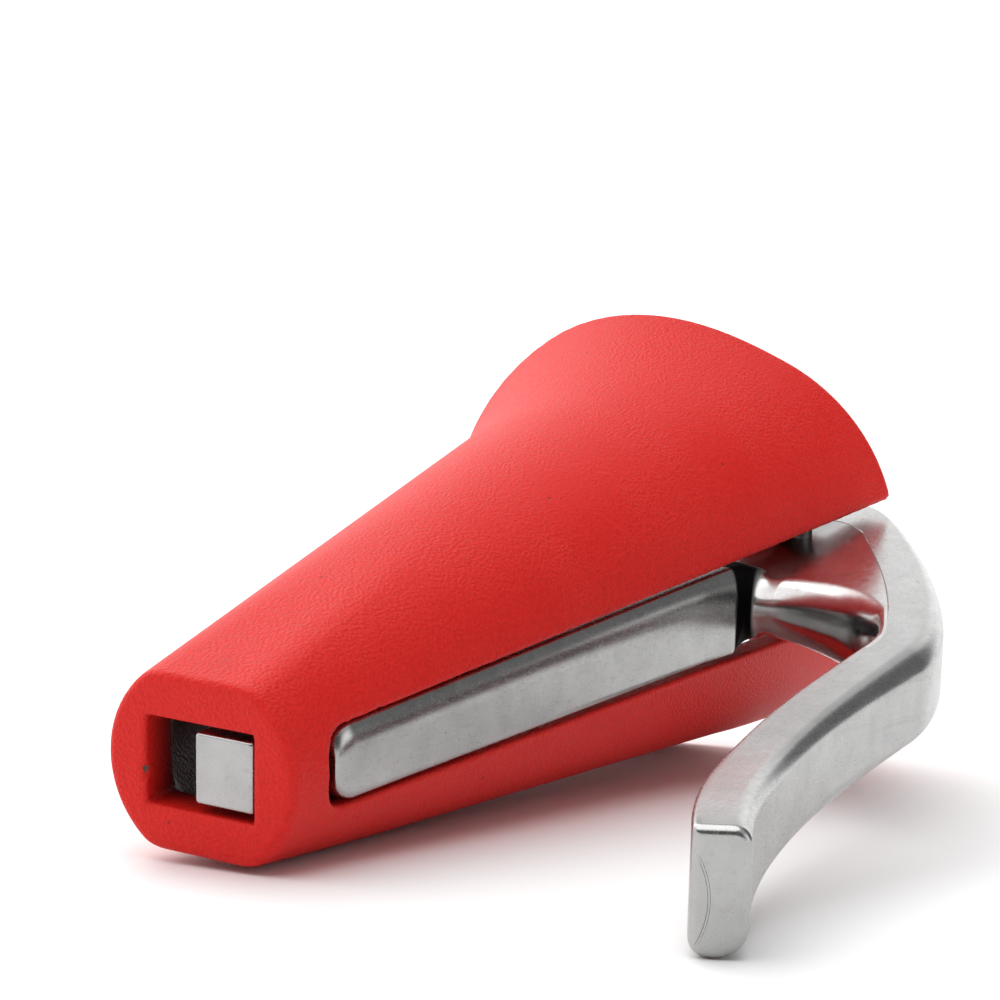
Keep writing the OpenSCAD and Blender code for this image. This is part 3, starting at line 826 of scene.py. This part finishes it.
def steel(name, shade, dull, rough_low, rough_high, along_scale, bump_strength):
    """Steel with a cloudy tone, fine scratches that run along it, and painted shade in the inner corner."""
    material, n, shader, spot = finish_of(name)
    grain = n.add("ShaderNodeGroup", node_tree=GRAIN)
    lines = n.add("ShaderNodeGroup", node_tree=SCRATCHES)
    for socket, value in (("Vector", spot), ("Grain Scale", 1500.0), ("Blotch Scale", 260.0),
                          ("Speck Scale", 300.0)):
        n.put(grain.inputs[socket], value)
    for socket, value in (("Vector", spot), ("Along", along_scale), ("Across", 4200.0)):
        n.put(lines.inputs[socket], value)
    cloudy = n.spread(grain.outputs["Blotch"], *WIDE)
    tone = n.blend(cloudy, dull, shade)
    tone = n.blend(n.math("MULTIPLY", lines.outputs["Marks"], 0.3), tone, SCRATCH_TONE)
    # painted shade: the corner between bar and nose is darkened, and made rougher
    corner = painted_corner_shade(n, spot)
    n.put(shader.inputs["Base Color"], n.blend(corner, tone, CORNER_SHADE_TONE))
    shader.inputs["Metallic"].default_value = 1.0
    worn = n.math("ADD", n.math("MULTIPLY", grain.outputs["Grain"], 0.5),
                  n.math("MULTIPLY", lines.outputs["Lines"], 0.5))
    ground = n.spread(worn, *WIDE, rough_low, rough_high)
    n.put(shader.inputs["Roughness"], n.math("MAXIMUM", ground, n.math("MULTIPLY", corner, 0.8)))
    bump = n.add("ShaderNodeBump", {"Strength": bump_strength, "Distance": 0.00004, "Height": worn})
    n.put(shader.inputs["Normal"], bump.outputs[0])
    return material


def pale_floor():
    material, n, shader, spot = finish_of("pale_table")
    cloud = n.noise(spot, 3.0, 2.0, 0.5)
    n.put(shader.inputs["Base Color"], n.blend(cloud, (0.86, 0.86, 0.86, 1), (0.9, 0.9, 0.9, 1)))
    shader.inputs["Roughness"].default_value = 0.6
    return material


red = red_coat()
satin = steel("ground_steel", shade=(0.43, 0.428, 0.425, 1), dull=(0.37, 0.368, 0.365, 1),
              rough_low=0.19, rough_high=0.31, along_scale=70.0, bump_strength=0.035)
polished = steel("polished_steel", shade=(0.5, 0.495, 0.49, 1), dull=(0.42, 0.415, 0.41, 1),
                 rough_low=0.13, rough_high=0.25, along_scale=40.0, bump_strength=0.12)
# painted shade: the dowel has a dark tone, so where it shows in the gap above the nose it reads as shade
shade_dark_dowel = steel("dowel_steel", shade=(0.12, 0.118, 0.115, 1), dull=(0.08, 0.079, 0.077, 1),
              rough_low=0.3, rough_high=0.42, along_scale=2000.0, bump_strength=0.1)

place("funnel_coat", funnel_mesh(red), "funnel", "funnel_body", "red_coat", None)
place("lever_steel", lever_mesh([satin, polished]), "lever", "lever", "lever_steel", SHARP)
place("pivot_pin_steel", pin_mesh(shade_dark_dowel), "lever", "pivot_pin", "pin_steel", SHARP)


# table, light and camera

def table():
    bm = bmesh.new()
    bmesh.ops.create_circle(bm, cap_ends=True, radius=TABLE_R, segments=96)
    mesh = mesh_of("table", bm)
    mesh.materials.append(pale_floor())
    top = shown("table", mesh)
    top.location.z = cad_box[0].z


def direction(turn, height):
    """A direction by its bearing from +X towards +Y and its height over the table, in degrees."""
    return Vector((cosd(height) * cosd(turn), cosd(height) * sind(turn), sind(height)))


# brightness of the surroundings by the sine of the height, and the panels that stand in them:
# bearing, height, radius of the full part, radius at which it ends, brightness
SKY = ((0.0, 1.3), (0.12, 1.55), (0.4, 1.55), (0.55, 0.72), (0.98, 0.58))
PANELS = ((-36.0, 22.0, 26.0, 31.0, 0.2), (58.0, 45.0, 14.0, 22.0, 2.5), (135.0, 50.0, 25.0, 35.0, 0.12),
          (208.0, 5.0, 38.0, 62.0, 0.12))
# the key light: the way it shines, its power and its spread in degrees
KEY_WAY, KEY_POWER, KEY_SPREAD = (0.22, -0.2, -0.92), 2.6, 84
# the camera of the photograph: its place in metres, its three directions, and its lens in millimetres
EYE = (-0.2366, -0.146165, 0.05004)
EYE_RIGHT, EYE_DOWN = (0.46957, -0.88199, 0.04), (-0.02361, -0.05783, -0.99805)
EYE_AHEAD = (0.88258, 0.46771, -0.04798)
LENS, SENSOR = 93.6, 36.0


def surroundings():
    """A bright tent with a lamp behind, dark panels to the right and left, and a dim opening for the camera."""
    world = bpy.data.worlds.new("studio")
    bpy.context.scene.world = world
    world.use_nodes = True
    n = Sheet(world.node_tree)
    look = n.add("ShaderNodeTexCoord").outputs["Generated"]
    height = n.add("ShaderNodeSeparateXYZ", {0: look}).outputs[2]
    ramp = n.add("ShaderNodeValToRGB", {"Fac": n.spread(height, 0.0, 1.0)})
    stops = ramp.color_ramp.elements
    for place_at, shade in SKY:
        stop = stops.new(place_at)
        stop.color = (shade, shade, shade, 1)
    stops.remove(stops[0])
    stops.remove(stops[-1])
    light = ramp.outputs[0]
    for turn, up, full, end, shade in PANELS:
        facing = n.vector("DOT_PRODUCT", look, tuple(direction(turn, up))).outputs["Value"]
        share = n.spread(facing, cosd(end), cosd(full))
        light = n.blend(share, light, (shade, shade, shade, 1))
    n.put(world.node_tree.nodes["Background"].inputs["Color"], light)


def distant_softbox(name, towards, power, spread):
    light = bpy.data.lights.new(name, "SUN")
    light.energy, light.angle = power, math.radians(spread)
    lamp = bpy.data.objects.new(name, light)
    lamp.rotation_euler = Vector(towards).to_track_quat("-Z", "Y").to_euler()
    bpy.context.scene.collection.objects.link(lamp)


def camera():
    lens = bpy.data.cameras.new("photo_camera")
    lens.sensor_width, lens.sensor_fit, lens.lens = SENSOR, "HORIZONTAL", LENS
    lens.clip_start, lens.clip_end = 0.01, 50.0
    eye = bpy.data.objects.new("photo_camera", lens)
    turn = Matrix((Vector(EYE_RIGHT), -Vector(EYE_DOWN), -Vector(EYE_AHEAD))).transposed().to_4x4()
    eye.matrix_world = Matrix.Translation(EYE) @ turn
    bpy.context.scene.collection.objects.link(eye)
    bpy.context.scene.camera = eye


table()
surroundings()
distant_softbox("key", KEY_WAY, KEY_POWER, KEY_SPREAD)
camera()
bpy.context.scene.view_settings.view_transform = "Standard"
